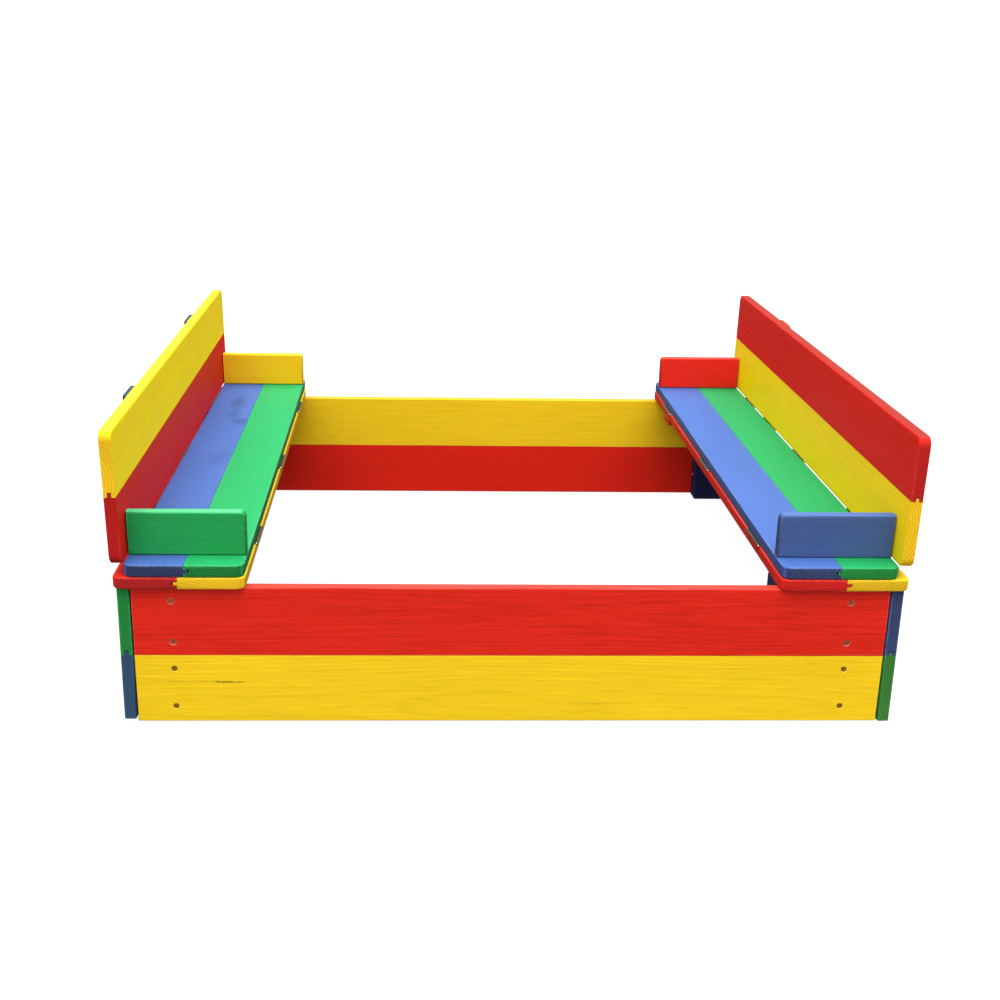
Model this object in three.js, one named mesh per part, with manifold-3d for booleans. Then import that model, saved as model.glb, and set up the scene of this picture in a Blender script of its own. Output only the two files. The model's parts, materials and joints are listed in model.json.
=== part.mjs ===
// Sandbox with two fold-out bench lids.
// Millimetres, +Z up. The origin is on the ground, under the middle of the square frame.
// X runs from the left bench to the right bench, Y from the front wall to the back wall.
import * as THREE from "three";
import { mergeVertices } from "three/addons/utils/BufferGeometryUtils.js";
import Module from "manifold-3d";

const wasm = await Module();
wasm.setup();

// ---------- driving dimensions ----------
const GAP = 0.3; // clearance between pieces that touch
const BOARD = 15; // thickness of every board
const EASE = 2.2; // rounding of the panel edges
const WALL_EASE = 1.6; // rounding of the wall board edges

const FRAME_SIZE = 950; // outside of the square frame
const WALL_HEIGHT = 177; // two tongue-and-groove boards
const WALL_END_GAP = 1.6; // shadow gap between a front or back board and a side board
const LEFT_WALL_RISE = 3.3; // the left wall stops this far above the ground
const POST_WIDTH = 63; // corner post, along X
const POST_DEPTH = 38; // corner post, along Y

const PANEL_LENGTH = 967; // bench panels, along Y
const LEDGE_INNER = 320.7; // fixed panel, nearest and farthest distance from the middle
const LEDGE_OUTER = 478.5;
const LEDGE_JOINT = 401;
const SEAT_INNER = 321.7;
const SEAT_OUTER = 464.5;
const SEAT_JOINT = 393;
const BACK_LOWER = 83.8; // heights of the two backrest boards
const BACK_UPPER = 79.4;
const BACK_LEAN = 1.2; // degrees outward
const PANEL_CORNER = 12; // corner radius seen from above

const ARM_INNER = 321.9;
const ARM_OUTER = 463.6;
const ARM_HEIGHT = 54.5;
const ARM_FACE = 449; // distance of the outer face from the middle
const ARM_CORNER = 7;
const ARM_EASE = 2.4;

const BATTEN_WIDTH = 58;
const BATTEN_TAIL = 24; // below the backrest hinge axis
// Centre line along Y, and distance below the top edge of the backrest.
const BATTENS = {
  left: { front: { y: -236, drop: 11 }, back: { y: 270, drop: 11 } },
  right: { front: { y: -236, drop: 11 }, back: { y: 261, drop: 8 } },
};

const CLEAT_WIDTH = 41;
const CLEAT_FRONT = { y: -436, height: 24 };
const CLEAT_BACK = { y: 343, height: 10 };

const TONGUE_LENGTH = 4.6;
const TONGUE_THICK = 4.2;
const GROOVE_DEPTH = 6.2;
const GROOVE_THICK = 5;
const JOINT_CHAMFER = 0.7;

const LEAF = 0.75; // hinge plate thickness
const LEAF_OFFSET = 0.15; // plate to the plane through the pin
const LEAF_START = 2.35; // plate edge to the pin
const HINGE_LENGTH = 64;
const MIDDLE_KNUCKLE = 21;
const KNUCKLE_GAP = 0.4;
const KNUCKLE_RADIUS = 2.1;
const BORE_RADIUS = 1.35;
const PIN_RADIUS = 1.05;
const WEB_START = 1.6; // where a plate meets its knuckle
const SEAT_LEAF = 22; // far edge of each kind of plate, from the pin
const EDGE_LEAF = 12.4;
const BED_CLEARANCE = 0.4; // round the plates and knuckles, in the wood
const HINGE_SPACING = 332; // middle hinge to front or back hinge
const PIN_TO_WOOD = 0.3; // pin plane to the face of each board
const SEAT_STEP = 0.6; // pin of the seat hinge in from the edge of the ledge
const BACK_STEP = -0.7; // pin of the backrest hinge above the seat

const FRONT_SCREWS = 411; // screw columns of the front and back walls, from the middle
const SIDE_SCREWS = 440; // and of the side walls
const SCREW_HEIGHTS = [20.5, 70.5, 106, 159.3];
const COUNTERSINK_RADIUS = 4.3;
const COUNTERSINK_FLOOR = 2.4;
const COUNTERSINK_DEPTH = 2.2;

const LEDGE_Z = WALL_HEIGHT + GAP;
const SEAT_PIN_X = LEDGE_INNER - SEAT_STEP;
const SEAT_PIN_Z = LEDGE_Z + BOARD + PIN_TO_WOOD;
const SEAT_Z = SEAT_PIN_Z + PIN_TO_WOOD;
const SEAT_TOP = SEAT_Z + BOARD;
const BACK_PIN_X = SEAT_OUTER + PIN_TO_WOOD;
const BACK_PIN_Z = SEAT_TOP + BACK_STEP;

const SQUARE = [0, 0, 0, 0]; // corner radii of a piece with sharp corners

// ---------- colours ----------
const PAINT = {
  red: { color: 0xc81e1a, roughness: 0.55, metalness: 0 },
  yellow: { color: 0xe6b81c, roughness: 0.55, metalness: 0 },
  green: { color: 0x2fa85c, roughness: 0.55, metalness: 0 },
  blue: { color: 0x4a68b4, roughness: 0.55, metalness: 0 },
  navy: { color: 0x1c2750, roughness: 0.6, metalness: 0 },
  steel: { color: 0x8c8578, roughness: 0.4, metalness: 1 },
};

// ---------- solids ----------
function toSolid(geometry) {
  const bare = geometry.index ? geometry.toNonIndexed() : geometry.clone();
  bare.deleteAttribute("normal");
  bare.deleteAttribute("uv");
  const merged = mergeVertices(bare, 1e-4);
  return new wasm.Manifold(
    new wasm.Mesh({
      numProp: 3,
      vertProperties: merged.attributes.position.array,
      triVerts: new Uint32Array(merged.index.array),
    }),
  );
}

function toGeometry(solid) {
  const mesh = solid.getMesh();
  const stride = mesh.numProp;
  const positions = new Float32Array(mesh.numVert * 3);
  for (let i = 0; i < mesh.numVert; i++) {
    positions.set(mesh.vertProperties.subarray(i * stride, i * stride + 3), i * 3);
  }
  const geometry = new THREE.BufferGeometry();
  geometry.setAttribute("position", new THREE.BufferAttribute(positions, 3));
  geometry.setIndex(new THREE.BufferAttribute(mesh.triVerts, 1));
  geometry.computeVertexNormals();
  return geometry;
}

function part(name, solid, paint) {
  const geometry = solid.isBufferGeometry ? solid : toGeometry(solid);
  const mesh = new THREE.Mesh(geometry, new THREE.MeshStandardMaterial(PAINT[paint]));
  mesh.name = name;
  return mesh;
}

function box(x0, x1, y0, y1, z0, z1) {
  const geometry = new THREE.BoxGeometry(x1 - x0, y1 - y0, z1 - z0);
  return geometry.translate((x0 + x1) / 2, (y0 + y1) / 2, (z0 + z1) / 2);
}

// A rectangle whose four corners have the radii given, from lower left anticlockwise.
function outline(x0, x1, y0, y1, radii) {
  const shape = new THREE.Shape();
  const corners = [
    [x0, y0, Math.PI],
    [x1, y0, 1.5 * Math.PI],
    [x1, y1, 0],
    [x0, y1, 0.5 * Math.PI],
  ];
  corners.forEach(([x, y, start], i) => {
    const r = radii[i];
    if (r === 0) {
      if (i === 0) shape.moveTo(x, y);
      else shape.lineTo(x, y);
      return;
    }
    const cx = x === x0 ? x + r : x - r;
    const cy = y === y0 ? y + r : y - r;
    if (i === 0) shape.moveTo(cx + r * Math.cos(start), cy + r * Math.sin(start));
    shape.absarc(cx, cy, r, start, start + Math.PI / 2, false);
  });
  shape.closePath();
  return shape;
}

// A plate from z = 0 to z = thickness whose edges are all eased.
function easedPlate(shape, thickness, ease) {
  return new THREE.ExtrudeGeometry(shape, {
    depth: thickness - 2 * ease,
    bevelEnabled: true,
    bevelThickness: ease,
    bevelSize: ease,
    bevelOffset: -ease,
    bevelSegments: 2,
    curveSegments: 4,
  }).translate(0, 0, ease);
}

// Section of the board below a joint: it fills low to joint and carries the tongue.
// The section is drawn with the joint direction along X and the thickness along Y.
function tongueSection(low, joint, thickness, margin) {
  const middle = thickness / 2;
  const half = TONGUE_THICK / 2;
  const edge = joint - GAP / 2;
  const shape = new THREE.Shape();
  shape.moveTo(low - margin, -margin);
  shape.lineTo(edge - JOINT_CHAMFER - margin, -margin);
  shape.lineTo(edge - JOINT_CHAMFER, 0);
  shape.lineTo(edge, JOINT_CHAMFER);
  shape.lineTo(edge, middle - half);
  shape.lineTo(edge + TONGUE_LENGTH, middle - half + 0.4);
  shape.lineTo(edge + TONGUE_LENGTH, middle + half - 0.4);
  shape.lineTo(edge, middle + half);
  shape.lineTo(edge, thickness - JOINT_CHAMFER);
  shape.lineTo(edge - JOINT_CHAMFER, thickness);
  shape.lineTo(edge - JOINT_CHAMFER - margin, thickness + margin);
  shape.lineTo(low - margin, thickness + margin);
  shape.closePath();
  return shape;
}

// Section of the board above a joint: it fills joint to high and has the groove.
function grooveSection(joint, high, thickness, margin) {
  const middle = thickness / 2;
  const half = GROOVE_THICK / 2;
  const edge = joint + GAP / 2;
  const shape = new THREE.Shape();
  shape.moveTo(edge + JOINT_CHAMFER + margin, -margin);
  shape.lineTo(high + margin, -margin);
  shape.lineTo(high + margin, thickness + margin);
  shape.lineTo(edge + JOINT_CHAMFER + margin, thickness + margin);
  shape.lineTo(edge + JOINT_CHAMFER, thickness);
  shape.lineTo(edge, thickness - JOINT_CHAMFER);
  shape.lineTo(edge, middle + half);
  shape.lineTo(edge + GROOVE_DEPTH, middle + half);
  shape.lineTo(edge + GROOVE_DEPTH, middle - half);
  shape.lineTo(edge, middle - half);
  shape.lineTo(edge, JOINT_CHAMFER);
  shape.lineTo(edge + JOINT_CHAMFER, 0);
  shape.closePath();
  return shape;
}

// Splits a plate lying in XY at x = joint. The board at lower x carries the tongue.
function splitPlate(plate, x0, x1, joint, length) {
  const options = { depth: length + 4, bevelEnabled: false };
  const margin = 2;
  const along = (shape) =>
    toSolid(
      new THREE.ExtrudeGeometry(shape, options)
        .rotateX(Math.PI / 2)
        .translate(0, length / 2 + 2, 0),
    );
  const solid = toSolid(plate);
  return [
    solid.intersect(along(tongueSection(x0, joint, BOARD, margin))),
    solid.intersect(along(grooveSection(joint, x1, BOARD, margin))),
  ];
}

// Two joined boards lying flat, from x0 to x1, centred on y = 0, bottom at z = 0.
function boardPair(x0, x1, joint, length, corner, ease) {
  const shape = outline(x0, x1, -length / 2, length / 2, [corner, corner, corner, corner]);
  return splitPlate(easedPlate(shape, BOARD, ease), x0, x1, joint, length);
}

function place(solid, matrix) {
  return toGeometry(solid).applyMatrix4(matrix);
}

function matrixFromAxes(x, y, z, origin) {
  const matrix = new THREE.Matrix4();
  matrix.makeBasis(new THREE.Vector3(...x), new THREE.Vector3(...y), new THREE.Vector3(...z));
  matrix.setPosition(...origin);
  return matrix;
}

// ---------- frame ----------
function countersinks(column, faceZ) {
  const cutters = [];
  for (const along of [-column, column]) {
    for (const height of SCREW_HEIGHTS) {
      const cone = new THREE.CylinderGeometry(
        COUNTERSINK_RADIUS + 0.5,
        COUNTERSINK_FLOOR,
        COUNTERSINK_DEPTH + 0.5,
        12,
      );
      cone.rotateX(Math.PI / 2);
      cone.translate(height, along, faceZ - COUNTERSINK_DEPTH / 2 + 0.25);
      cutters.push(toSolid(cone));
    }
  }
  return cutters;
}

// A wall drawn lying down: X is height, Y runs along the wall, +Z is its outer face.
function wallBoards(length, column, rise) {
  const shape = outline(rise, WALL_HEIGHT, -length / 2, length / 2, SQUARE);
  const plate = easedPlate(shape, BOARD, WALL_EASE);
  const boards = splitPlate(plate, 0, WALL_HEIGHT, WALL_HEIGHT / 2, length);
  return boards.map((board) =>
    countersinks(column, BOARD).reduce((solid, cutter) => solid.subtract(cutter), board),
  );
}

function wall(name, size, along, outward, colours) {
  const [lower, upper] = wallBoards(size.length, size.column, size.rise);
  const reach = FRAME_SIZE / 2 - BOARD;
  const origin = outward.map((v) => v * reach);
  const matrix = matrixFromAxes([0, 0, 1], along, outward, origin);
  return [
    part(name + "_lower", place(lower, matrix), colours[0]),
    part(name + "_upper", place(upper, matrix), colours[1]),
  ];
}

function walls() {
  const between = FRAME_SIZE - 2 * BOARD - 2 * WALL_END_GAP;
  const front = { length: between, column: FRONT_SCREWS, rise: 0 };
  const right = { length: FRAME_SIZE, column: SIDE_SCREWS, rise: 0 };
  const left = { ...right, rise: LEFT_WALL_RISE };
  return [
    ...wall("wall_front", front, [-1, 0, 0], [0, -1, 0], ["yellow", "red"]),
    ...wall("wall_back", front, [1, 0, 0], [0, 1, 0], ["red", "yellow"]),
    ...wall("wall_left", left, [0, 1, 0], [-1, 0, 0], ["blue", "green"]),
    ...wall("wall_right", right, [0, -1, 0], [1, 0, 0], ["green", "blue"]),
  ];
}

function posts() {
  const edge = FRAME_SIZE / 2 - BOARD - GAP;
  const meshes = [];
  for (const [endName, sy] of [["front", -1], ["back", 1]]) {
    for (const [sideName, sx] of [["left", -1], ["right", 1]]) {
      const shape = outline(-POST_WIDTH / 2, POST_WIDTH / 2, -POST_DEPTH / 2, POST_DEPTH / 2,
        SQUARE);
      const height = WALL_HEIGHT - GAP;
      const post = easedPlate(shape, height, WALL_EASE);
      post.translate(sx * (edge - POST_WIDTH / 2), sy * (edge - POST_DEPTH / 2), 0);
      meshes.push(part("post_" + endName + "_" + sideName, toSolid(post), "navy"));
    }
  }
  return meshes;
}

// ---------- one bench, drawn on the +X side ----------
function ledge(side, colours) {
  const [inner, outer] = boardPair(
    LEDGE_INNER, LEDGE_OUTER, LEDGE_JOINT, PANEL_LENGTH, PANEL_CORNER, EASE);
  const pin = [SEAT_PIN_X, 0, SEAT_PIN_Z - LEDGE_Z];
  const bedded = cutBeds(inner, SEAT_LEAF, [1, 0, 0], [0, 0, -1], pin);
  const meshes = [
    part(side + "_ledge_inner", bedded, colours.ledgeInner),
    part(side + "_ledge_outer", outer, colours.ledgeOuter),
  ];
  meshes.forEach((mesh) => mesh.position.set(0, 0, LEDGE_Z));
  return meshes;
}

function cleat(name, x0, x1, spot, colour) {
  const shape = outline(x0, x1, spot.y - CLEAT_WIDTH / 2, spot.y + CLEAT_WIDTH / 2, SQUARE);
  const mesh = part(name, toSolid(easedPlate(shape, spot.height, WALL_EASE)), colour);
  mesh.position.z = LEDGE_Z - GAP - spot.height;
  return mesh;
}

function cleats(side, colours) {
  const wallFace = FRAME_SIZE / 2 - BOARD - GAP;
  const postFace = wallFace - POST_WIDTH - GAP;
  const start = LEDGE_INNER + colours.cleatInset;
  return [
    cleat(side + "_cleat_front", start, postFace, CLEAT_FRONT, colours.cleatFront),
    cleat(side + "_cleat_back", start, wallFace, CLEAT_BACK, colours.cleatBack),
  ];
}

// The outer seat board carries the tongue, so the pair is drawn turned end for end.
function seatBoards(side, colours) {
  const [outer, inner] = boardPair(
    -SEAT_OUTER, -SEAT_INNER, -SEAT_JOINT, PANEL_LENGTH, PANEL_CORNER, EASE);
  const turn = matrixFromAxes([-1, 0, 0], [0, -1, 0], [0, 0, 1], [0, 0, SEAT_Z]);
  const placed = [inner, outer].map((board) => toSolid(place(board, turn)));
  const seatPin = [SEAT_PIN_X, 0, SEAT_PIN_Z];
  const backPin = [BACK_PIN_X, 0, BACK_PIN_Z];
  const innerBoard = cutBeds(placed[0], SEAT_LEAF, [1, 0, 0], [0, 0, 1], seatPin);
  const outerBoard = cutBeds(placed[1], EDGE_LEAF, [0, 0, -1], [-1, 0, 0], backPin);
  return [
    part(side + "_seat_inner", innerBoard, colours.seatInner),
    part(side + "_seat_outer", outerBoard, colours.seatOuter),
  ];
}

function armrest(name, y, colour) {
  const shape = outline(ARM_INNER, ARM_OUTER, 0, ARM_HEIGHT, [0, 0, 0, ARM_CORNER]);
  const plate = easedPlate(shape, BOARD, ARM_EASE);
  plate.rotateX(Math.PI / 2);
  plate.translate(0, y + BOARD / 2, SEAT_TOP + GAP);
  return part(name, toSolid(plate), colour);
}

function armrests(side, colours) {
  const y = ARM_FACE - BOARD / 2;
  return [
    armrest(side + "_armrest_front", -y, colours.armFront),
    armrest(side + "_armrest_back", y, colours.armBack),
  ];
}

// The backrest is drawn in a group whose origin is its hinge axis and whose X points
// up the board and whose Z points out through its rear face.
function backrest(side, colours) {
  const top = PIN_TO_WOOD + BACK_LOWER + BACK_UPPER;
  const joint = PIN_TO_WOOD + BACK_LOWER;
  const [lower, upper] = boardPair(
    PIN_TO_WOOD, top, joint, PANEL_LENGTH, PANEL_CORNER, EASE);
  const bedded = cutBeds(lower, EDGE_LEAF, [0, 0, 1], [1, 0, 0], [0, 0, -BACK_STEP]);
  const meshes = [
    part(side + "_backrest_lower", bedded, colours.backLower),
    part(side + "_backrest_upper", upper, colours.backUpper),
  ];
  meshes.forEach((mesh) => mesh.position.set(0, 0, BACK_STEP));
  for (const [name, spot] of Object.entries(BATTENS[side])) {
    const shape = outline(-BATTEN_TAIL, top - spot.drop, -BATTEN_WIDTH / 2, BATTEN_WIDTH / 2,
      [5, 5, 5, 5]);
    const mesh = part(side + "_batten_" + name,
      toSolid(easedPlate(shape, BOARD, WALL_EASE)), colours.batten);
    mesh.position.set(0, -spot.y, BACK_STEP + BOARD + GAP);
    meshes.push(mesh);
  }
  return meshes;
}

// ---------- hinges ----------
// Drawn with the pin on the Y axis and the plate reaching out along +X, just above z = 0.
function knuckle(y0, y1, radius, segments) {
  const cylinder = new THREE.CylinderGeometry(radius, radius, y1 - y0, segments);
  return toSolid(cylinder.translate(0, (y0 + y1) / 2, 0));
}

function plate(reach, y0, y1, start) {
  return toSolid(box(start, reach, y0, y1, LEAF_OFFSET, LEAF_OFFSET + LEAF));
}

function pinLeaf(reach) {
  const half = HINGE_LENGTH / 2;
  const middle = MIDDLE_KNUCKLE / 2 + KNUCKLE_GAP;
  let leaf = plate(reach, -half, half, LEAF_START).add(knuckle(-half, half, PIN_RADIUS, 8));
  for (const [y0, y1] of [[-half, -middle], [middle, half]]) {
    leaf = leaf.add(knuckle(y0, y1, KNUCKLE_RADIUS, 14));
    leaf = leaf.add(plate(LEAF_START + 1, y0, y1, WEB_START));
  }
  return leaf;
}

function tubeLeaf(reach) {
  const half = HINGE_LENGTH / 2;
  const middle = MIDDLE_KNUCKLE / 2;
  const tube = knuckle(-middle, middle, KNUCKLE_RADIUS, 14).subtract(
    knuckle(-middle - 1, middle + 1, BORE_RADIUS, 10),
  );
  return plate(reach, -half, half, LEAF_START)
    .add(plate(LEAF_START + 1, -middle, middle, WEB_START))
    .add(tube);
}

// The bed in the wood for one leaf and for the knuckles.
function bed(reach) {
  const half = HINGE_LENGTH / 2 + BED_CLEARANCE;
  const deep = LEAF_OFFSET + LEAF + GAP;
  const pocket = toSolid(box(0, reach + BED_CLEARANCE, -half, half, -1, deep));
  return pocket.add(knuckle(-half, half, KNUCKLE_RADIUS + BED_CLEARANCE, 14));
}

const HINGE_PLACES = [["front", -HINGE_SPACING], ["middle", 0], ["back", HINGE_SPACING]];

// Where one hinge is: reach is its plate's direction, lift the direction from the pin
// plane to the plate.
function hingeMatrix(reach, lift, pin, y) {
  const along = new THREE.Vector3(...lift).cross(new THREE.Vector3(...reach)).toArray();
  return matrixFromAxes(reach, along, lift, [pin[0], pin[1] + y, pin[2]]);
}

function cutBeds(solid, far, reach, lift, pin) {
  return HINGE_PLACES.reduce((left, [, y]) => {
    const cutter = place(bed(far), hingeMatrix(reach, lift, pin, y));
    return left.subtract(toSolid(cutter));
  }, solid);
}

function leaves(prefix, solid, reach, lift, pin) {
  return HINGE_PLACES.map(([spot, y]) => {
    const geometry = place(solid, hingeMatrix(reach, lift, pin, y));
    return part(prefix.replace("*", spot), geometry, "steel");
  });
}

// ---------- assembly ----------
function bench(side, colours) {
  const group = new THREE.Group();
  const seatPin = [SEAT_PIN_X, 0, SEAT_PIN_Z];
  const backPin = [BACK_PIN_X, 0, BACK_PIN_Z];
  group.add(
    ...ledge(side, colours),
    ...cleats(side, colours),
    ...leaves(side + "_seat_hinge_*_ledge_leaf", pinLeaf(SEAT_LEAF), [1, 0, 0], [0, 0, -1], seatPin),
    ...seatBoards(side, colours),
    ...armrests(side, colours),
    ...leaves(side + "_seat_hinge_*_seat_leaf", tubeLeaf(SEAT_LEAF), [1, 0, 0], [0, 0, 1], seatPin),
    ...leaves(side + "_back_hinge_*_seat_leaf", pinLeaf(EDGE_LEAF), [0, 0, -1], [-1, 0, 0], backPin),
  );
  const lean = new THREE.Group();
  lean.position.set(...backPin);
  lean.rotation.y = THREE.MathUtils.degToRad(BACK_LEAN);
  const upright = new THREE.Group();
  upright.setRotationFromMatrix(matrixFromAxes([0, 0, 1], [0, -1, 0], [1, 0, 0], [0, 0, 0]));
  upright.add(...backrest(side, colours));
  lean.add(
    upright,
    ...leaves(side + "_back_hinge_*_backrest_leaf", tubeLeaf(EDGE_LEAF), [1, 0, 0],
      [0, 0, 1], [0, 0, 0]),
  );
  group.add(lean);
  return group;
}

const LEFT_COLOURS = {
  ledgeInner: "yellow",
  ledgeOuter: "red",
  seatInner: "green",
  seatOuter: "blue",
  backLower: "red",
  backUpper: "yellow",
  armFront: "green",
  armBack: "yellow",
  batten: "blue",
  cleatFront: "yellow",
  cleatBack: "yellow",
  cleatInset: 22,
};

const RIGHT_COLOURS = {
  ledgeInner: "red",
  ledgeOuter: "yellow",
  seatInner: "blue",
  seatOuter: "green",
  backLower: "yellow",
  backUpper: "red",
  armFront: "blue",
  armBack: "red",
  batten: "red",
  cleatFront: "navy",
  cleatBack: "red",
  cleatInset: 0.8,
};

const sandbox = new THREE.Group();
const rightBench = bench("right", RIGHT_COLOURS);
const leftBench = bench("left", LEFT_COLOURS);
leftBench.scale.x = -1;
sandbox.add(...walls(), ...posts(), rightBench, leftBench);

export default sandbox;
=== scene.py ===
import json
import math
import random

import bmesh
import bpy
from mathutils import Matrix, Vector
from mathutils.geometry import delaunay_2d_cdt


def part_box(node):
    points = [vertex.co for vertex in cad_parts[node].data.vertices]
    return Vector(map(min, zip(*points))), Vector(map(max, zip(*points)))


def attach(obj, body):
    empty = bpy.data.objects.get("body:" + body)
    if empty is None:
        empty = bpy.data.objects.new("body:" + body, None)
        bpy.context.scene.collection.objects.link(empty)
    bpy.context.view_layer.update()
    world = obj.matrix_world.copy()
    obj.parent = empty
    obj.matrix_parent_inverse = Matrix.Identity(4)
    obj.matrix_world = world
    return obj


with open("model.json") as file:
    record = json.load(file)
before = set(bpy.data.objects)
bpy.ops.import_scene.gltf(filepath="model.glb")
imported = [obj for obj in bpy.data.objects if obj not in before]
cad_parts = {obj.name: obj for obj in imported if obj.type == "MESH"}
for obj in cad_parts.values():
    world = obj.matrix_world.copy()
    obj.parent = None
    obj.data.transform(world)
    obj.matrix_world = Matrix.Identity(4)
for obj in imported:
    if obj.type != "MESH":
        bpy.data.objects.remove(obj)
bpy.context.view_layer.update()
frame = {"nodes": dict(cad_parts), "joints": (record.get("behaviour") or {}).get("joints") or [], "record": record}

MM = 0.001
SLOT_OF = {row["node"]: row["material_slot"] for row in frame["record"]["subparts"]}
PIN = {joint["name"]: Vector(joint["pos_m"]) for joint in frame["joints"]}
SIDES = ("left", "right")
HINGE_PLACES = ("front", "middle", "back")
LEAN_ANGLE = math.radians(1.2)
LEAN = math.tan(LEAN_ANGLE)


# ---------- camera ----------
def add_camera(place, pitch, yaw, roll, lens, shift):
    """A camera that looks along +Y, turned right by yaw and down by pitch, in radians."""
    ahead = Vector((math.sin(yaw) * math.cos(pitch), math.cos(yaw) * math.cos(pitch), -math.sin(pitch)))
    level = Vector((math.cos(yaw), -math.sin(yaw), 0))
    above = level.cross(ahead)
    right = math.cos(roll) * level + math.sin(roll) * above
    up = -math.sin(roll) * level + math.cos(roll) * above
    data = bpy.data.cameras.new("camera")
    data.sensor_width = 36
    data.lens = lens
    data.shift_x, data.shift_y = shift
    data.clip_start, data.clip_end = 0.05, 100
    camera = bpy.data.objects.new("camera", data)
    bpy.context.scene.collection.objects.link(camera)
    basis = Matrix((right, up, -ahead)).transposed()
    camera.matrix_world = Matrix.Translation(place) @ basis.to_4x4()
    bpy.context.scene.camera = camera


add_camera(
    place=(-0.11955, -2.04206, 0.79977),
    pitch=0.331,
    yaw=0.040,
    roll=0.018,
    lens=50.575,
    shift=(0.03157, 0.02224),
)


# ---------- node helpers ----------
class Graph:
    """Short calls for building a node tree. A number or tuple sets a socket; a socket is linked."""

    def __init__(self, tree):
        self.tree = tree

    def add(self, kind, settings=None, **inputs):
        node = self.tree.nodes.new(kind)
        for key, value in (settings or {}).items():
            setattr(node, key, value)
        for key, value in inputs.items():
            self.put(node.inputs[key.replace("_", " ")], value)
        return node

    def put(self, socket, value):
        if isinstance(value, bpy.types.NodeSocket):
            self.tree.links.new(value, socket)
        else:
            socket.default_value = value

    def math(self, operation, *values):
        node = self.tree.nodes.new("ShaderNodeMath")
        node.operation = operation
        for socket, value in zip(node.inputs, values):
            self.put(socket, value)
        return node.outputs[0]

    def vector(self, operation, *values):
        node = self.tree.nodes.new("ShaderNodeVectorMath")
        node.operation = operation
        for socket, value in zip(node.inputs, values):
            self.put(socket, value)
        return node.outputs["Value" if operation in ("LENGTH", "DISTANCE", "DOT_PRODUCT") else "Vector"]

    def total(self, *values):
        result = values[0]
        for value in values[1:]:
            result = self.math("ADD", result, value)
        return result

    def weighted(self, *pairs):
        """The sum of values, each times its weight."""
        return self.total(*[self.math("MULTIPLY", value, weight) for value, weight in pairs])

    def swing(self, value, weight):
        """A value from 0 to 1 as a swing about zero."""
        return self.math("MULTIPLY", self.math("SUBTRACT", value, 0.5), weight)

    def noise(self, vector, scale, detail=2.0, roughness=0.5):
        node = self.add("ShaderNodeTexNoise", Vector=vector, Scale=scale, Detail=detail)
        node.inputs["Roughness"].default_value = roughness
        return node.outputs[0]

    def ramp(self, value, low, high, to_low=0.0, to_high=1.0):
        """A smooth step from low to high."""
        node = self.add("ShaderNodeMapRange", {"interpolation_type": "SMOOTHSTEP"}, Value=value)
        for key, number in (("From Min", low), ("From Max", high), ("To Min", to_low), ("To Max", to_high)):
            self.put(node.inputs[key], number)
        return node.outputs[0]

    def mix(self, factor, a, b, blend="MIX"):
        """Two colours mixed; the node keeps its colour sockets after those for numbers and vectors."""
        node = self.add("ShaderNodeMix", {"data_type": "RGBA", "blend_type": blend})
        self.put(node.inputs[0], factor)
        self.put(node.inputs[6], a)
        self.put(node.inputs[7], b)
        return node.outputs[2]

    def shaded(self, colour, tone):
        """A colour multiplied by a tone."""
        return self.mix(1.0, colour, self.join(tone, tone, tone), "MULTIPLY")

    def split(self, vector):
        return self.add("ShaderNodeSeparateXYZ", Vector=vector).outputs

    def join(self, x, y, z):
        return self.add("ShaderNodeCombineXYZ", X=x, Y=y, Z=z).outputs[0]


def new_material(name):
    material = bpy.data.materials.new(name)
    material.use_nodes = True
    material.node_tree.nodes.clear()
    graph = Graph(material.node_tree)
    shader = graph.add("ShaderNodeBsdfPrincipled")
    graph.add("ShaderNodeOutputMaterial", Surface=shader.outputs[0])
    return material, graph, shader


def opaque(colour):
    return (*colour, 1)


# ---------- stained wood ----------
# Each stain has linear colours for the face grain, the end grain and the rubbed edges, and "grain"
# is how strongly the grain shows on the faces. The rubbed-edge colour also gives a painted sheen on
# the narrow long sides.
STAINS = {
    "red": {
        "face": (0.66, 0.018, 0.008),
        "end": (0.44, 0.014, 0.011),
        "worn_and_sheen": (0.80, 0.14, 0.10),
        "grain": 1.15,
    },
    "yellow": {
        "face": (0.83, 0.54, 0.010),
        "end": (0.76, 0.45, 0.012),
        "worn_and_sheen": (0.90, 0.68, 0.09),
        "grain": 0.65,
    },
    "green": {
        "face": (0.013, 0.27, 0.066),
        "end": (0.013, 0.20, 0.035),
        "worn_and_sheen": (0.11, 0.50, 0.24),
        "grain": 0.5,
    },
    "blue": {
        "face": (0.050, 0.092, 0.235),
        "end": (0.036, 0.052, 0.135),
        "worn_and_sheen": (0.16, 0.25, 0.48),
        "grain": 0.5,
    },
    "navy": {
        "face": (0.011, 0.017, 0.075),
        "end": (0.010, 0.016, 0.055),
        "worn_and_sheen": (0.05, 0.07, 0.18),
        "grain": 0.8,
    },
}
# "rings" is how strongly the growth rings show on the ends. On the narrow long sides "rim" scales the
# colour, as painted shade below 1 and painted light above 1, and "rub_and_sheen" is how far they turn
# to the rubbed-edge colour, partly real wear and partly a painted sheen. "gloss" is the level of the shine.
PLAIN = {"rings": 1.0, "rim": 1.0, "rub_and_sheen": 0.0, "gloss": 0.14}
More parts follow.
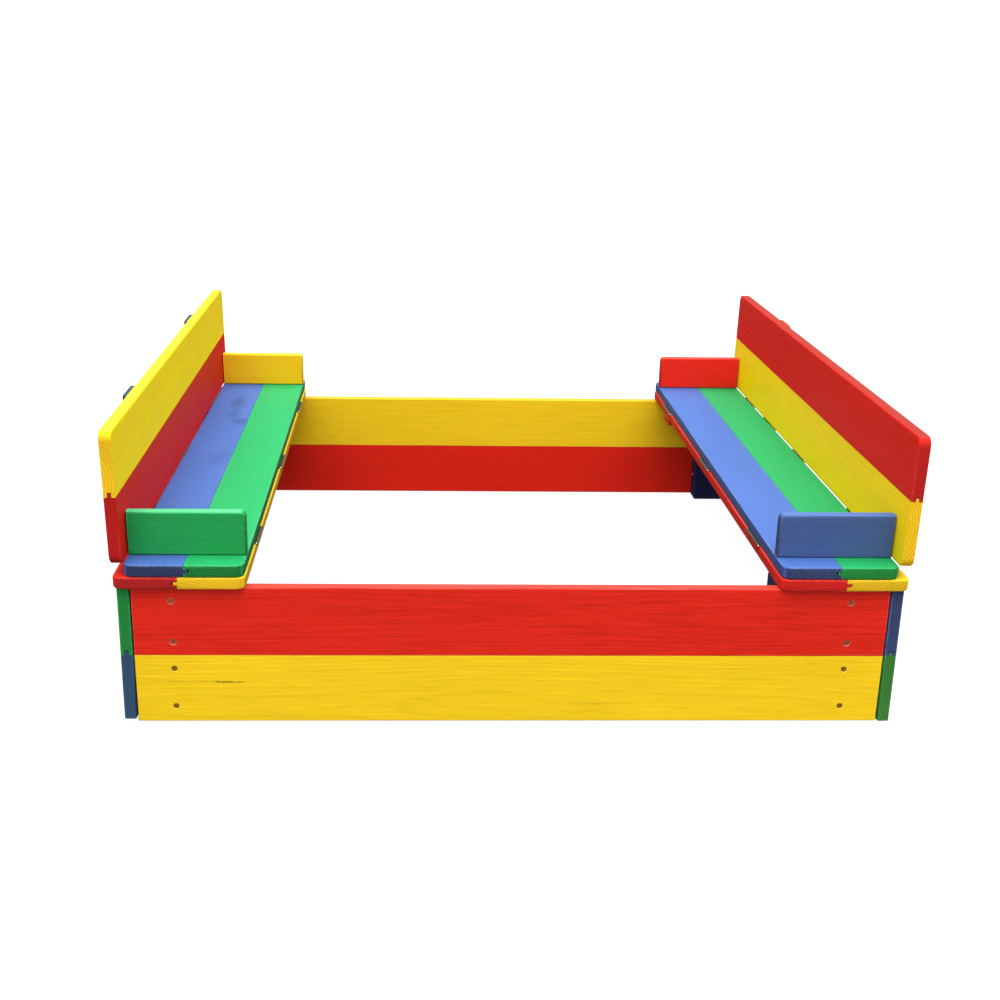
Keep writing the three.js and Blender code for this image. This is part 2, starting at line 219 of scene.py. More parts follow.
# Boards that look their own way. Some of this is painted light: the battens' light tops, and the shade, light and
# sheen on narrow sides.
# The battens are navy. Their end colour, far lighter than their faces, is a painted highlight on their tops, which
# face the light above.
BATTEN_PAINTED_LIT_TOPS = {
    "face": (0.014, 0.020, 0.042),
    "end": (0.042, 0.058, 0.074),
    "worn_and_sheen": (0.08, 0.11, 0.15),
    "grain": 0.6,
}
SEAT_BLUE = {"face": (0.050, 0.112, 0.335), "grain": 0.35, "rim": 0.62}
SEAT_GREEN = {"face": (0.012, 0.280, 0.084), "grain": 0.4, "rim": 0.52}
BACKREST_YELLOW = {"grain": 0.5, "gloss": 0.09}
TINTS = {
    "left_backrest_upper": BACKREST_YELLOW | {"face": (0.94, 0.68, 0.003), "rim": 0.64, "rub_and_sheen": 0.38},
    "left_backrest_lower": {
        "grain": 0.6,
        "face": (0.60, 0.009, 0.004),
        "end": (0.40, 0.011, 0.010),
        "gloss": 0.08,
    },
    "left_batten_front": BATTEN_PAINTED_LIT_TOPS,
    "left_batten_back": BATTEN_PAINTED_LIT_TOPS,
    "left_armrest_front": {"rim": 1.0, "rub_and_sheen": 0.6},
    "left_armrest_back": {"face": (0.83, 0.50, 0.010), "grain": 0.5},
    "left_seat_outer": SEAT_BLUE | {"end": (0.026, 0.036, 0.100)},
    "left_seat_inner": SEAT_GREEN | {"end": (0.010, 0.165, 0.028)},
    "left_ledge_outer": {"end": (0.34, 0.011, 0.011)},
    "left_ledge_inner": {"rim": 0.62},
    "right_backrest_upper": {
        "grain": 0.6,
        "face": (0.62, 0.010, 0.004),
        "rim": 0.40,
        "rub_and_sheen": 0.42,
        "gloss": 0.09,
    },
    "right_backrest_lower": BACKREST_YELLOW | {"face": (0.87, 0.60, 0.003)},
    "right_armrest_front": {"rim": 1.3},
    "right_armrest_back": {"face": (0.76, 0.018, 0.010), "grain": 0.6, "rim": 0.8, "rub_and_sheen": 0.5},
    "right_seat_outer": SEAT_GREEN,
    "right_seat_inner": SEAT_BLUE | {"rings": 2.0},
    "right_ledge_outer": {"end": (0.64, 0.38, 0.010)},
    "right_ledge_inner": {"rim": 0.75, "end": (0.49, 0.012, 0.009)},
    "wall_front_upper": {"rim": 0.60, "rub_and_sheen": 0.4},
    "wall_back_upper": {"rim": 0.58},
    "wall_back_lower": {"face": (0.66, 0.014, 0.005), "grain": 0.6},
    "wall_left_lower": {"end": (0.028, 0.066, 0.125)},
    "wall_right_lower": {"end": (0.040, 0.180, 0.030)},
}
# The bare ring round a screw.
BARE = {
    "red": (0.50, 0.14, 0.09),
    "yellow": (0.70, 0.45, 0.05),
    "green": (0.07, 0.13, 0.05),
    "blue": (0.07, 0.075, 0.10),
    "navy": (0.05, 0.05, 0.07),
}
RING_INNER, RING_OUTER, RING_WOBBLE = 4.8 * MM, 5.7 * MM, 1.6 * MM
RING_COVER = 0.9
# Dark flaws in the wood: centre and half sizes in millimetres, and how dark.
FLAWS = {
    "wall_front_lower": [
        ((-346, -475, 53), (26, 6, 1.5), 0.62),
        ((-385, -475, 54), (80, 6, 1.1), 0.30),
        ((120, -475, 24), (60, 6, 0.9), 0.20),
    ],
    "wall_front_upper": [((60, -475, 128), (120, 6, 1.0), 0.25), ((-180, -475, 146), (90, 6, 0.9), 0.22)],
    "left_seat_outer": [
        ((-421, 300, 208), (17, 62, 6), 0.34),
        ((-404, 176, 208), (16, 26, 6), 0.38),
        ((-420, 222, 208), (14, 34, 6), 0.26),
        ((-410, -30, 208), (20, 60, 6), 0.16),
    ],
}
# How far the noise shifts the edge of a flaw, in its own half sizes.
FLAW_SPREAD = 2.6
# How squarely a surface faces along the board where it starts to be end grain and is all end grain,
# and the same across the board for its narrow long sides.
END_STARTS, END_FULL = 0.62, 0.86
RIM_STARTS, RIM_FULL = 0.80, 0.97
# Depths below the edge where the wear starts and where it is full.
WEAR_STARTS, WEAR_FULL = 2.6 * MM, 0.6 * MM
# A growth ring's width, and how far the pith of the trunk can be beside a board and below it.
RING_WIDTH = 3.6 * MM
PITH_BESIDE = 0.045
PITH_NEAR, PITH_FAR = 0.03, 0.075
WOOD_INPUTS = {
    "Place": "NodeSocketVector",
    "End": "NodeSocketFloat",
    "Edge": "NodeSocketFloat",
    "Face Colour": "NodeSocketColor",
    "End Colour": "NodeSocketColor",
    "Worn Colour": "NodeSocketColor",
    "Pith": "NodeSocketVector",
    "Grain": "NodeSocketFloat",
    "Rings": "NodeSocketFloat",
}
WOOD_OUTPUTS = {"Colour": "NodeSocketColor", "Roughness": "NodeSocketFloat", "Height": "NodeSocketFloat"}


def late_wood(g, place, pith):
    """The dark part of each growth ring, round a pith that wanders slowly along the board."""
    drift = g.vector("MULTIPLY", place, (1.7, 5.0, 5.0))
    slow = g.add("ShaderNodeTexNoise", Vector=drift, Scale=1.0, Detail=2.0)
    swing = g.vector("SUBTRACT", slow.outputs["Color"], (0.5, 0.5, 0.5))
    wander = g.vector("MULTIPLY", swing, (0.0, 0.022, 0.022))
    section = g.vector("MULTIPLY", g.vector("SUBTRACT", place, pith), (0.010, 1.0, 1.0))
    radius = g.vector("LENGTH", g.vector("ADD", section, wander))
    growth = g.noise(g.vector("MULTIPLY", place, (0.8, 40.0, 40.0)), 1.0, 1.0)
    uneven = g.math("ADD", radius, g.math("MULTIPLY", growth, 4.0 * MM))
    phase = g.math("FRACT", g.math("MULTIPLY", uneven, 1 / RING_WIDTH))
    return g.math("MULTIPLY", g.math("POWER", phase, 2.2), g.ramp(phase, 1.0, 0.9))


def wood_group():
    """Nodes that turn a place in a board (along, across, through the grain) into wood."""
    tree = bpy.data.node_groups.new("stained_wood", "ShaderNodeTree")
    for way, sockets in (("INPUT", WOOD_INPUTS), ("OUTPUT", WOOD_OUTPUTS)):
        for name, kind in sockets.items():
            tree.interface.new_socket(name, in_out=way, socket_type=kind)
    g = Graph(tree)
    given = g.add("NodeGroupInput").outputs
    place, end = given["Place"], given["End"]

    def stretched(stretch, detail, roughness):
        """Noise with its own scale along, across and through the grain."""
        return g.noise(g.vector("MULTIPLY", place, stretch), 1.0, detail, roughness)

    late = late_wood(g, place, given["Pith"])
    fibre = stretched((22.0, 850.0, 850.0), 3.0, 0.6)
    streak = stretched((9.0, 400.0, 400.0), 3.0, 0.6)
    dark_lines = g.ramp(stretched((13.0, 430.0, 430.0), 2.0, 0.7), 0.60, 0.72)
    brush = stretched((4.0, 120.0, 60.0), 2.0, 0.6)
    cloud = stretched((4.0, 11.0, 11.0), 3.0, 0.55)
    pores = g.ramp(stretched((150.0, 2200.0, 2200.0), 2.0, 0.7), 0.60, 0.72)
    speck = g.noise(place, 900.0, 2.0, 0.6)

    # Tone: 1 is the plain stain.
    grain = g.total(g.swing(streak, 0.42), g.swing(fibre, 0.50), g.swing(brush, 0.10))
    grain = g.math("SUBTRACT", grain, g.weighted((dark_lines, 0.16), (late, 0.11), (pores, 0.14)))
    tone = g.total(1.05, g.math("MULTIPLY", grain, given["Grain"]), g.swing(cloud, 0.16))
    rings = g.math("MULTIPLY", late, g.math("MULTIPLY", given["Rings"], 0.40))
    end_tone = g.total(g.math("SUBTRACT", 1.14, rings), g.swing(speck, 0.70), g.swing(cloud, 0.55))
    colour = g.mix(end, g.shaded(given["Face Colour"], tone), g.shaded(given["End Colour"], end_tone))

    # Rubbed edges, broken up by the grain.
    broken = g.ramp(g.weighted((streak, 1.0), (speck, 0.5)), 0.6, 0.95)
    rubbed = g.math("MULTIPLY", g.math("MULTIPLY", given["Edge"], broken), 0.5)
    colour = g.mix(rubbed, colour, given["Worn Colour"])

    rough = g.total(0.50, g.swing(cloud, 0.20), g.weighted((late, -0.06), (fibre, 0.10), (end, 0.16)))
    face_height = g.weighted((late, 0.45), (fibre, 0.55), (streak, 0.5))
    end_height = g.weighted((late, 0.8), (speck, 1.2))
    height = g.weighted((face_height, g.math("SUBTRACT", 1.0, end)), (end_height, end))
    g.add("NodeGroupOutput", Colour=colour, Roughness=rough, Height=height)
    return tree


WOOD = wood_group()


def edge_wear(g, inset):
    """1 on the edges of a board and 0 away from them, from the depths inside its three pairs of sides."""
    nearest = g.math("MINIMUM", g.math("MINIMUM", inset[0], inset[1]), inset[2])
    farthest = g.math("MAXIMUM", g.math("MAXIMUM", inset[0], inset[1]), inset[2])
    second = g.math("SUBTRACT", g.total(*inset), g.math("ADD", nearest, farthest))
    return g.ramp(second, WEAR_STARTS, WEAR_FULL)


def flaw_shade(g, point, flaws):
    """How much of the colour is left where a flaw darkens the board."""
    shade = 1.0
    ragged = g.noise(point, 130.0, 4.0, 0.75)
    for centre, half, dark in flaws:
        middle, reach = (tuple(value * MM for value in triple) for triple in (centre, half))
        inside = g.vector("LENGTH", g.vector("DIVIDE", g.vector("SUBTRACT", point, middle), reach))
        distance = g.math("ADD", inside, g.swing(ragged, FLAW_SPREAD))
        shade = g.math("MULTIPLY", shade, g.ramp(distance, 0.15, 1.1, 1 - dark, 1.0))
    return shade


def screw_rings(g, point, screws):
    """1 on the screws and on the bare rings round them, 0 elsewhere."""
    distance = 1.0
    for spot in screws:
        distance = g.math("MINIMUM", distance, g.vector("DISTANCE", point, tuple(spot)))
    wobble = g.math("MULTIPLY", g.noise(point, 900.0, 1.0), RING_WOBBLE)
    return g.ramp(g.math("ADD", distance, wobble), RING_OUTER, RING_INNER)


def wood_material(name, stain, seed, screws):
    """Wood for one board. The grain follows its longest side, and each of its screws has a bare ring."""
    rng = random.Random(seed)
    pith = (rng.uniform(-PITH_BESIDE, PITH_BESIDE), -rng.uniform(PITH_NEAR, PITH_FAR))
    shift = rng.uniform(-5, 5)
    look = PLAIN | STAINS[stain] | TINTS.get(name, {})
    low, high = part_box(name)
    size, centre = high - low, (low + high) / 2
    order = sorted(range(3), key=lambda axis: -size[axis])
    along, across, _ = order
    material, g, shader = new_material(f"wood_{name}")
    coords = g.add("ShaderNodeTexCoord").outputs
    point, normal = coords["Object"], g.split(coords["Normal"])
    centred = g.split(g.vector("SUBTRACT", point, tuple(centre)))
    inset = [g.math("SUBTRACT", size[axis] / 2, g.math("ABSOLUTE", centred[axis])) for axis in order]
    given = {
        "Place": g.vector("ADD", g.join(*[centred[axis] for axis in order]), (shift, 0.0, 0.0)),
        "End": g.ramp(g.math("ABSOLUTE", normal[along]), END_STARTS, END_FULL),
        "Edge": edge_wear(g, inset),
        "Face Colour": opaque(look["face"]),
        "End Colour": opaque(look["end"]),
        "Worn Colour": opaque(look["worn_and_sheen"]),
        "Pith": (shift, *pith),
        "Grain": look["grain"],
        "Rings": look["rings"],
    }
    wood = g.add("ShaderNodeGroup", {"node_tree": WOOD})
    for key, value in given.items():
        g.put(wood.inputs[key], value)
    # Painted shade and light on the narrow long sides: the colour turns partly to the rubbed-edge colour, as wear
    # and as a painted sheen, and is scaled by "rim".
    rim = g.ramp(g.math("ABSOLUTE", normal[across]), RIM_STARTS, RIM_FULL)
    colour = g.mix(g.math("MULTIPLY", rim, look["rub_and_sheen"]), wood.outputs["Colour"], opaque(look["worn_and_sheen"]))
    painted_side_light_and_shade = g.math("ADD", 1.0, g.math("MULTIPLY", rim, look["rim"] - 1.0))
    colour = g.shaded(colour, g.math("MULTIPLY", painted_side_light_and_shade, flaw_shade(g, point, FLAWS.get(name, []))))
    if screws:
        bare = g.math("MULTIPLY", screw_rings(g, point, screws), RING_COVER)
        colour = g.mix(bare, colour, opaque(BARE[stain]))
    bump = g.add("ShaderNodeBump", Height=wood.outputs["Height"], Strength=0.55, Distance=0.35 * MM)
    g.put(shader.inputs["Base Color"], colour)
    g.put(shader.inputs["Roughness"], wood.outputs["Roughness"])
    g.put(shader.inputs["Normal"], bump.outputs[0])
    shader.inputs["IOR"].default_value = 1.46
    shader.inputs["Specular IOR Level"].default_value = look["gloss"]
    return material


# ---------- metal ----------
def metal_material(name, bright, dull, low_rough, high_rough, scale):
    """Metal with dull patches and fine rub marks, its roughness between the two given."""
    material, g, shader = new_material(name)
    point = g.add("ShaderNodeTexCoord").outputs["Object"]
    cloud = g.noise(point, scale, 4.0, 0.65)
    grit = g.noise(point, scale * 9, 2.0, 0.6)
    rubbed = g.noise(g.vector("MULTIPLY", point, (1.0, 0.08, 1.0)), scale * 14, 2.0, 0.5)
    tone = g.ramp(g.math("ADD", cloud, g.swing(grit, 0.25)), 0.35, 0.66)
    wear = g.math("ADD", cloud, g.math("MULTIPLY", rubbed, 0.3))
    g.put(shader.inputs["Base Color"], g.mix(tone, opaque(dull), opaque(bright)))
    g.put(shader.inputs["Roughness"], g.ramp(wear, 0.4, 0.85, high_rough, low_rough))
    bump = g.add("ShaderNodeBump", Height=g.math("ADD", grit, rubbed), Strength=0.25, Distance=0.08 * MM)
    g.put(shader.inputs["Normal"], bump.outputs[0])
    shader.inputs["Metallic"].default_value = 1.0
    return material


# Screw heads in the boards carry some of the stain that was brushed over them.
STAINED_ZINC = {
    "red": ((0.95, 0.26, 0.16), (0.55, 0.085, 0.05)),
    "yellow": ((0.80, 0.44, 0.04), (0.36, 0.16, 0.01)),
    "green": ((0.45, 0.36, 0.16), (0.16, 0.13, 0.05)),
    "blue": ((0.45, 0.36, 0.22), (0.16, 0.12, 0.07)),
}
# Noise scales for the patches on the metal.
SMALL_PATCHES, LARGE_PATCHES = 420.0, 160.0
HINGE = metal_material("hinge_plate", (0.27, 0.23, 0.165), (0.185, 0.155, 0.11), 0.32, 0.5, LARGE_PATCHES)
ZINC = metal_material("screw_zinc", (0.52, 0.38, 0.20), (0.20, 0.13, 0.06), 0.28, 0.5, SMALL_PATCHES)
PIN_HEAD = metal_material("pin_head", (0.92, 0.91, 0.88), (0.70, 0.68, 0.62), 0.22, 0.34, SMALL_PATCHES)
SCREWS = {
    stain: metal_material(f"screw_on_{stain}", bright, dull, 0.28, 0.5, SMALL_PATCHES)
    for stain, (bright, dull) in STAINED_ZINC.items()
}


# ---------- smooth shading of the CAD pieces ----------
SHARPEST_SMOOTH = math.radians(47)
WELD = 0.002 * MM


def soft_edge_group():
    """Joins the split corners of a piece and shades its eased edges smooth."""
    tree = bpy.data.node_groups.new("soft_edges", "GeometryNodeTree")
    for way in ("INPUT", "OUTPUT"):
        tree.interface.new_socket("Geometry", in_out=way, socket_type="NodeSocketGeometry")
    g = Graph(tree)
    given = g.add("NodeGroupInput")
    merged = g.add("GeometryNodeMergeByDistance", Geometry=given.outputs[0], Distance=WELD)
    smooth = g.add("GeometryNodeSetShadeSmooth", {"domain": "FACE"}, Geometry=merged.outputs[0])
    smooth.inputs["Shade Smooth"].default_value = True
    angle = g.add("GeometryNodeInputMeshEdgeAngle").outputs["Unsigned Angle"]
    gentle = g.add("FunctionNodeCompare", {"data_type": "FLOAT", "operation": "LESS_THAN"})
    g.put(gentle.inputs[0], angle)
    g.put(gentle.inputs[1], SHARPEST_SMOOTH)
    edges = g.add("GeometryNodeSetShadeSmooth", {"domain": "EDGE"}, Geometry=smooth.outputs[0])
    g.put(edges.inputs["Shade Smooth"], gentle.outputs[0])
    g.put(g.add("NodeGroupOutput").inputs[0], edges.outputs[0])
    return tree


SOFT_EDGES = soft_edge_group()


def soften(obj):
    normals = obj.data.attributes.get("custom_normal")
    if normals:
        obj.data.attributes.remove(normals)
    obj.modifiers.new("soft_edges", "NODES").node_group = SOFT_EDGES
    weighted = obj.modifiers.new("flat_faces", "WEIGHTED_NORMAL")
    weighted.keep_sharp = True
    weighted.weight = 80


def dress(obj, material):
    obj.data.materials.clear()
    obj.data.materials.append(material)


def add_object(name, bm):
    """A new object in the scene with the shape of a bmesh, which is used up."""
    mesh = bpy.data.meshes.new(name)
    bm.to_mesh(mesh)
    bm.free()
    obj = bpy.data.objects.new(name, mesh)
    bpy.context.scene.collection.objects.link(obj)
    return obj


def add_metal(name, body, bm, material):
    """A small metal piece that moves with a body."""
    obj = add_object(name, bm)
    soften(obj)
    dress(obj, material)
    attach(obj, body)


# ---------- screws ----------
HEAD_STEPS = 28
# Shares of a head's radius: the reach of its cross recess, the rise of its middle, and the radius
# at the bottom of the screw.
CROSS_REACH, CROWN, NECK = 0.60, 0.03, 0.5
# Half the width of the recess's arms, as a share of its reach.
CROSS_HALF = 0.23
# Shares of the screw's depth: down to the recess's floor, and down the straight rim of the head.
CROSS_DEPTH, LIP = 0.45, 0.12
# Corners between the arms, in half widths of an arm, and the floor's size as a share of the recess.
CROSS_NOTCH, CROSS_TAPER = 1.2, 0.45
# Screws are turned by up to this angle, all but a full turn.
SPIN = 6.28


def band(low, high):
    """Four-sided faces between two rings of points, given by their numbers."""
    count = len(low)
    return [(low[i], low[(i + 1) % count], high[(i + 1) % count], high[i]) for i in range(count)]


def screw_shape(radius, depth):
    """Points and faces of a countersunk cross-head screw, head up, the rim of its head at z = 0."""
    reach = radius * CROSS_REACH
    half = reach * CROSS_HALF
    notch = half * CROSS_NOTCH
    arm = [Vector(corner) for corner in ((reach, -half), (reach, half), (notch, notch))]
    turns = [2 * math.pi * i / HEAD_STEPS for i in range(HEAD_STEPS)]
    rim = [Vector((math.cos(turn), math.sin(turn))) * radius for turn in turns]
    cross = [Matrix.Rotation(math.pi / 2 * quarter, 2) @ corner for quarter in range(4) for corner in arm]

    rings = []
    points = []
    for outline, scale, z in (
        (rim, 1.0, 0.0),
        (cross, 1.0, CROWN * radius),
        (cross, CROSS_TAPER, -CROSS_DEPTH * depth),
        (rim, 1.0, -LIP * depth),
        (rim, NECK, -depth),
    ):
        rings.append(range(len(points), len(points) + len(outline)))
        points += [Vector((p.x * scale, p.y * scale, z)) for p in outline]
    head, recess, floor, edge, neck = rings

    def in_recess(triangle):
        middle = sum((points[i].xy for i in triangle), Vector((0, 0))) / 3
        near, far = sorted((abs(middle.x), abs(middle.y)))
        return all(i in recess for i in triangle) and near < 1.25 * half and far < reach

    lines = [(ring[i], ring[(i + 1) % len(ring)]) for ring in (head, recess) for i in range(len(ring))]
    triangles = delaunay_2d_cdt(rim + cross, lines, [], 0, 1e-9)[2]
    faces = [tuple(triangle) for triangle in triangles if not in_recess(triangle)]
    faces += band(recess, floor) + band(edge, head) + band(neck, edge)
    faces += [tuple(floor), tuple(reversed(neck))]
    return points, faces


def screw_set(name, body, places, material, seed, radius, depth, sink, tilt):
    """One piece holding screws at (point, outward direction) places, each turned by its own angle,
    let in by sink and askew by up to tilt radians."""
    rng = random.Random(seed)
    points, faces = screw_shape(radius, depth)
    bm = bmesh.new()
    for spot, outward in places:
        outward = Vector(outward).normalized()
        facing = outward.to_track_quat("Z", "Y").to_matrix().to_4x4()
        turned = facing @ Matrix.Rotation(rng.uniform(0, SPIN), 4, "Z")
        askew = Matrix.Rotation(rng.uniform(-tilt, tilt), 4, "X")
        at = Matrix.Translation(Vector(spot) - outward * sink) @ turned @ askew
        made = [bm.verts.new(at @ point) for point in points]
        for face in faces:
            bm.faces.new([made[i] for i in face])
    bmesh.ops.recalc_face_normals(bm, faces=bm.faces[:])
    add_metal(name, body, bm, material)


def dome(name, body, places, radius, height):
    """Low round heads at (point, outward direction) places."""
    bm = bmesh.new()
    for spot, outward in places:
        facing = Vector(outward).to_track_quat("Z", "Y").to_matrix().to_4x4()
        shape = Matrix.Translation(Vector(spot)) @ facing @ Matrix.Diagonal((radius, radius, height, 1))
        bmesh.ops.create_uvsphere(bm, u_segments=16, v_segments=8, radius=1, matrix=shape)
    add_metal(name, body, bm, PIN_HEAD)


# Heights of the screws in a wall's boards, and how far its two columns are from the wall's middle,
# in millimetres.
SCREW_HEIGHTS = {"lower": (20.5, 70.5), "upper": (106.0, 159.3)}
WALL_SIDES = {
    "front": ((0, -1, 0), 411),
    "back": ((0, 1, 0), 411),
    "left": ((-1, 0, 0), 440),
    "right": ((1, 0, 0), 440),
}
# A batten's screws in millimetres: height above its foot, and how far from its middle line.
BATTEN_SCREWS = ((52, 13), (88, -13), (128, 13), (158, -13))
BATTEN_SCREW_INSET = 0.05 * MM
# Wall screws are let into the boards, and those of the battens stand a little proud.
WALL_SCREW = {"radius": 3.3 * MM, "depth": 1.0 * MM, "sink": 1.0 * MM, "tilt": 0.03}
BATTEN_SCREW = WALL_SCREW | {"sink": -0.15 * MM}


def wall_screws(side, board):
    """Screw places on the outer face of one wall board."""
    outward, column = Vector(WALL_SIDES[side][0]), WALL_SIDES[side][1]
    low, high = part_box(f"wall_{side}_{board}")
    along = Vector((outward.y, -outward.x, 0))
    reach = max(abs(low.dot(outward)), abs(high.dot(outward)))
    spots = []
    for sign in (-1, 1):
        for height in SCREW_HEIGHTS[board]:
            spots.append(outward * reach + along * (sign * column * MM) + Vector((0, 0, height * MM)))
    return [(spot, outward) for spot in spots]


def batten_screws(name):
    """Four screws on the outer face of a batten, two into each board of the backrest."""
    low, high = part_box(name)
    outward = Vector((math.copysign(1, low.x), 0, -LEAN))
    middle = (low.y + high.y) / 2
    reach = max(abs(low.x), abs(high.x))
    spots = []
    for height, aside in BATTEN_SCREWS:
        drop = (high.z - low.z) - height * MM
        x = math.copysign(reach - drop * LEAN - BATTEN_SCREW_INSET, low.x)
        spots.append((Vector((x, middle + aside * MM, low.z + height * MM)), outward))
    return spots


# ---------- hinge screws and pins ----------
# In millimetres: the step between a leaf's screws, how far each is from the pin, and how far the
# tops of their heads are to the board's side of the middle of the pin.
LEAF_SCREW_STEP = 22
SEAT_LEAF_RADII = (9, 17, 9)
BACK_LEAF_RADII = (7.5, 7.5, 7.5)
LEAF_SCREW_SINK = 0.10
# The leaves of a folded hinge lie face to face, so these screws are shallow and straight.
LEAF_SCREW = {"radius": 2.6 * MM, "depth": 0.4 * MM, "sink": 0.0, "tilt": 0.0}
# Radius and height of a round head. The backrest's boards come close to the ends of their hinges'
# pins, so the heads there are nearly flat.
LEDGE_PIN_HEAD = (1.45 * MM, 1.3 * MM)
BACK_PIN_HEAD = (1.4 * MM, 0.3 * MM)
POST_SCREW_HEAD = (2.5 * MM, 1.5 * MM)
POST_SCREW_Y, POST_SCREW_Z = 448 * MM, 41 * MM


def pin_ends(hinge, leaf, pin):
    """Both ends of the pins of one row of hinges, found from the leaves that carry them."""
    spots = []
    for where in HINGE_PLACES:
        low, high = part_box(f"{hinge}_{where}_{leaf}")
        for y, sign in ((low.y, -1), (high.y, 1)):
            spots.append((Vector((pin.x, y, pin.z)), (0, sign, 0)))
    return spots


def leaf_screws(hinge, leaf, pin, outward, board, radii):
    """Three small screws in each leaf of one row of hinges. A leaf lies outward from its pin, and the
    board that it is screwed to is on the side called board."""
    spots = []
    for where in HINGE_PLACES:
        low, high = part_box(f"{hinge}_{where}_{leaf}")
        middle = (low.y + high.y) / 2
        for step, radius in zip((-1, 0, 1), radii):
            spot = pin + (Vector(outward) * radius + Vector(board) * LEAF_SCREW_SINK) * MM
            spots.append((Vector((spot.x, middle + step * LEAF_SCREW_STEP * MM, spot.z)), -Vector(board)))
    return spots


def lean_from(sign, x, z):
    """A direction in the leaning backrest, seen along its hinge."""
    c, s = math.cos(LEAN_ANGLE), math.sin(LEAN_ANGLE)
    return (sign * (x * c + z * s), 0, z * c - x * s)


# ---------- the pieces ----------
WALL_SCREWS = {
    f"wall_{side}_{board}": wall_screws(side, board)
    for side in WALL_SIDES
    for board in SCREW_HEIGHTS
}
FIRST_BOARD_SEED, FIRST_WALL_SEED, FIRST_BATTEN_SEED = 100, 20, 40
LEAF_SEEDS = {"seat": 70, "ledge": 71, "backrest": 72}

for index, name in enumerate(sorted(frame["nodes"])):
    node = frame["nodes"][name]
    slot = SLOT_OF[name]
    soften(node)
    if slot == "hinge_steel":
        dress(node, HINGE)
    else:
        spots = [spot for spot, _ in WALL_SCREWS.get(name, [])]
        dress(node, wood_material(name, slot, FIRST_BOARD_SEED + index, spots))

for index, (board, places) in enumerate(WALL_SCREWS.items()):
    screw_set(
        f"screws_{board}",
        "frame",
        places,
        SCREWS[SLOT_OF[board]],
        FIRST_WALL_SEED + index,
        **WALL_SCREW,
    )

for index, side in enumerate(SIDES):
    screw_set(
        f"screws_battens_{side}",
        f"{side}_backrest",
        batten_screws(f"{side}_batten_front") + batten_screws(f"{side}_batten_back"),
        SCREWS[SLOT_OF[f"{side}_batten_front"]],
        FIRST_BATTEN_SEED + index,
        **BATTEN_SCREW,
    )

for side in SIDES:
    seat_ends = pin_ends(f"{side}_seat_hinge", "ledge_leaf", PIN[f"{side}_seat_fold"])
    back_ends = pin_ends(f"{side}_back_hinge", "seat_leaf", PIN[f"{side}_backrest_fold"])
    dome(f"pin_heads_{side}_ledge", "frame", seat_ends, *LEDGE_PIN_HEAD)
    dome(f"pin_heads_{side}_seat", f"{side}_seat", back_ends, *BACK_PIN_HEAD)

for side, sign in zip(SIDES, (-1, 1)):
    seat_hinge, back_hinge = f"{side}_seat_hinge", f"{side}_back_hinge"
    seat, back = PIN[f"{side}_seat_fold"], PIN[f"{side}_backrest_fold"]
    out, up, down = (sign, 0, 0), (0, 0, 1), (0, 0, -1)
    in_backrest = lean_from(sign, 1, 0), lean_from(sign, 0, 1)
    rows = {
        "seat": leaf_screws(seat_hinge, "seat_leaf", seat, out, up, SEAT_LEAF_RADII)
        + leaf_screws(back_hinge, "seat_leaf", back, down, (-sign, 0, 0), BACK_LEAF_RADII),
        "ledge": leaf_screws(seat_hinge, "ledge_leaf", seat, out, down, SEAT_LEAF_RADII),
        "backrest": leaf_screws(back_hinge, "backrest_leaf", back, *in_backrest, BACK_LEAF_RADII),
    }
    for row, places in rows.items():
        body = "frame" if row == "ledge" else f"{side}_{row}"
        screw_set(f"screws_leaves_{side}_{row}", body, places, ZINC, LEAF_SEEDS[row], **LEAF_SCREW)

# One round screw head low on the inner side of the right back post.
post_spot = Vector((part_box("post_back_right")[0].x, POST_SCREW_Y, POST_SCREW_Z))
dome("screw_post", "frame", [(post_spot, (-1, 0, 0))], *POST_SCREW_HEAD)


# ---------- floor, light ----------
FLOOR_RADIUS = 60
FLOOR_DROP = 0.5 * MM


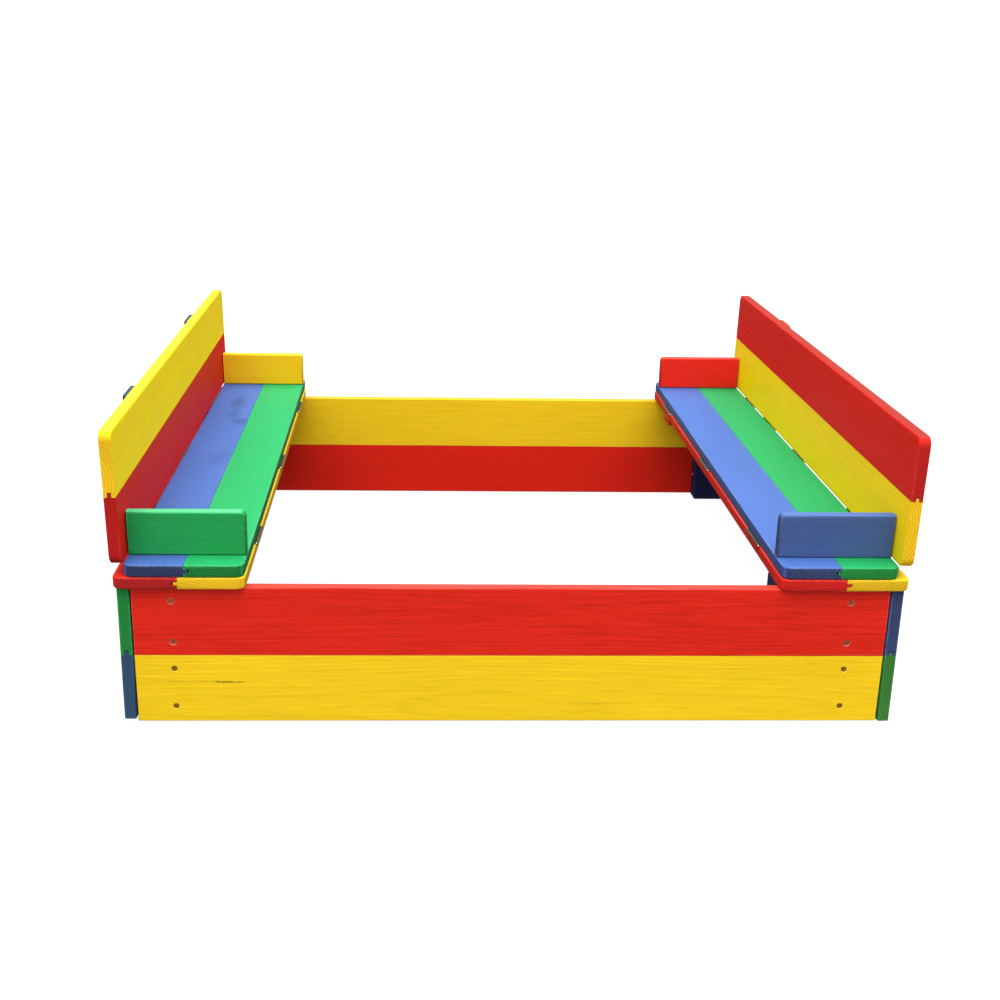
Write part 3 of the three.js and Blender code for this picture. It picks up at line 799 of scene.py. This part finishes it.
def add_floor():
    """A floor that gives its own light, so that it is as white as the background all over."""
    bm = bmesh.new()
    bmesh.ops.create_circle(bm, cap_ends=True, segments=64, radius=FLOOR_RADIUS)
    floor = add_object("floor", bm)
    floor.location.z = -FLOOR_DROP
    material, g, shader = new_material("floor_paint")
    cloud = g.noise(g.add("ShaderNodeTexCoord").outputs["Object"], 3.0, 2.0)
    g.put(shader.inputs["Base Color"], g.mix(cloud, (0.15, 0.15, 0.15, 1), (0.17, 0.17, 0.17, 1)))
    shader.inputs["Roughness"].default_value = 0.8
    shader.inputs["Specular IOR Level"].default_value = 0.0
    shader.inputs["Emission Color"].default_value = (1, 1, 1, 1)
    shader.inputs["Emission Strength"].default_value = 0.93
    dress(floor, material)
    floor.visible_diffuse = False
    floor.visible_glossy = False


def add_sky(stops, toward, lobe):
    """Soft studio light: its level by the sine of the height that it comes from, and a broad lobe
    of more light from one direction."""
    world = bpy.data.worlds.new("studio")
    bpy.context.scene.world = world
    world.use_nodes = True
    world.node_tree.nodes.clear()
    g = Graph(world.node_tree)
    direction = g.add("ShaderNodeTexCoord").outputs["Generated"]
    height = g.split(direction)[2]
    shade = g.add("ShaderNodeValToRGB", Fac=g.math("ADD", g.math("MULTIPLY", height, 0.5), 0.5))
    ramp = shade.color_ramp
    while len(ramp.elements) < len(stops):
        ramp.elements.new(0.5)
    top = max(level for _, level in stops)
    for element, (sine, level) in zip(ramp.elements, stops):
        element.position = sine / 2 + 0.5
        element.color = (level / top, level / top, level / top, 1)
    nearness = g.vector("DOT_PRODUCT", direction, tuple(Vector(toward).normalized()))
    level = g.weighted((shade.outputs[0], top), (g.ramp(nearness, 0.6, 0.94), lobe))
    light = g.add("ShaderNodeBackground", Color=(1, 1, 1, 1), Strength=level)
    g.add("ShaderNodeOutputWorld", Surface=light.outputs[0])


SKY_STOPS = [
    (-1.0, 0.15),
    (-0.08, 0.15),
    (-0.04, 1.02),
    (0.06, 1.02),
    (0.12, 0.25),
    (0.55, 0.35),
    (0.8, 3.4),
    (1.0, 6.0),
]
add_floor()
add_sky(SKY_STOPS, toward=(-0.15, -0.85, 0.5), lobe=1.1)
bpy.context.scene.view_settings.view_transform = "Standard"
